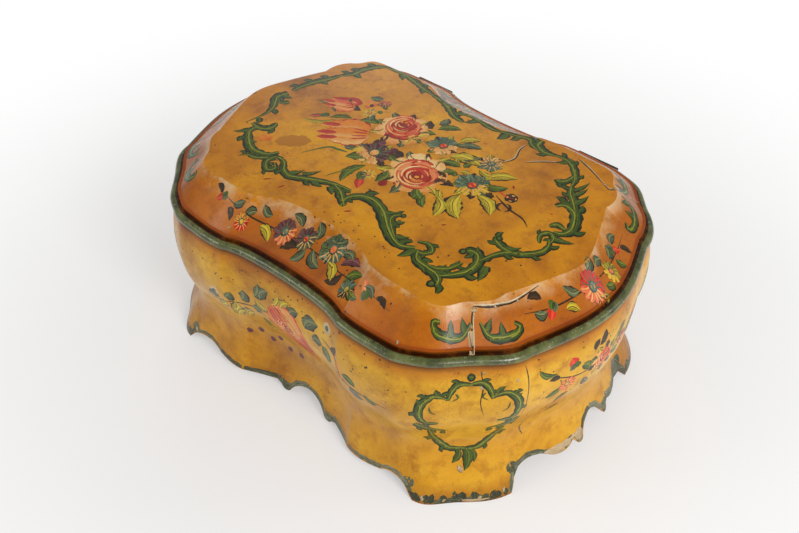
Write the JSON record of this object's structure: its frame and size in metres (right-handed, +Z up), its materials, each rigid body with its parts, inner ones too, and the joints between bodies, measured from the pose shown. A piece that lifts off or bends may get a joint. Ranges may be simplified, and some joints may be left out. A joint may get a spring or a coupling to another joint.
{
  "type": "lacquered wooden box",
  "caption": "Serpentine bombé lacquered casket with a hinged lid: sloping borders round a flat top panel, a half-round edge bead, and a flared scalloped base on corner feet.",
  "frame": {"origin": "on the floor under the centre of the box", "axes": "+X along the length, -Y is the front, +Z up; the hinges are at the back, +Y"},
  "size_m": [0.3822, 0.2799, 0.169],
  "materials": {
    "ochre_lacquer": "ochre paint with flower sprays on gesso under an aged glossy varnish",
    "green_lacquer": "olive green paint on gesso under an aged glossy varnish",
    "bare_softwood": "planed, bare, darkened",
    "iron": "wrought, dark, waxed"
  },
  "bodies": {
    "case": {"back_base_skirt": "ochre_lacquer", "back_left_glue_block": "bare_softwood", "back_right_glue_block": "bare_softwood", "back_wall": "ochre_lacquer", "bottom_board": "bare_softwood", "case_hinge_nails": "iron", "front_base_skirt": "ochre_lacquer", "front_left_glue_block": "bare_softwood", "front_right_glue_block": "bare_softwood", "front_wall": "ochre_lacquer", "left_base_skirt": "ochre_lacquer", "left_hinge_case_leaf": "iron", "left_hinge_pin": "iron", "left_wall": "ochre_lacquer", "right_base_skirt": "ochre_lacquer", "right_hinge_case_leaf": "iron", "right_hinge_pin": "iron", "right_wall": "ochre_lacquer"},
    "lid": {"back_bead": "green_lacquer", "back_lid_border": "ochre_lacquer", "front_bead": "green_lacquer", "front_lid_border": "ochre_lacquer", "left_bead": "green_lacquer", "left_hinge_lid_leaf": "iron", "left_lid_border": "ochre_lacquer", "lid_hinge_nails": "iron", "lid_top_panel": "ochre_lacquer", "right_bead": "green_lacquer", "right_hinge_lid_leaf": "iron", "right_lid_border": "ochre_lacquer"}
  },
  "joints": [
    {"name": "lid_hinge", "type": "hinge", "parent": "case", "child": "lid", "pos_m": [0, 0.13945, 0.13635], "axis": [-1, 0, 0], "range_deg": [0, 100]}
  ]
}
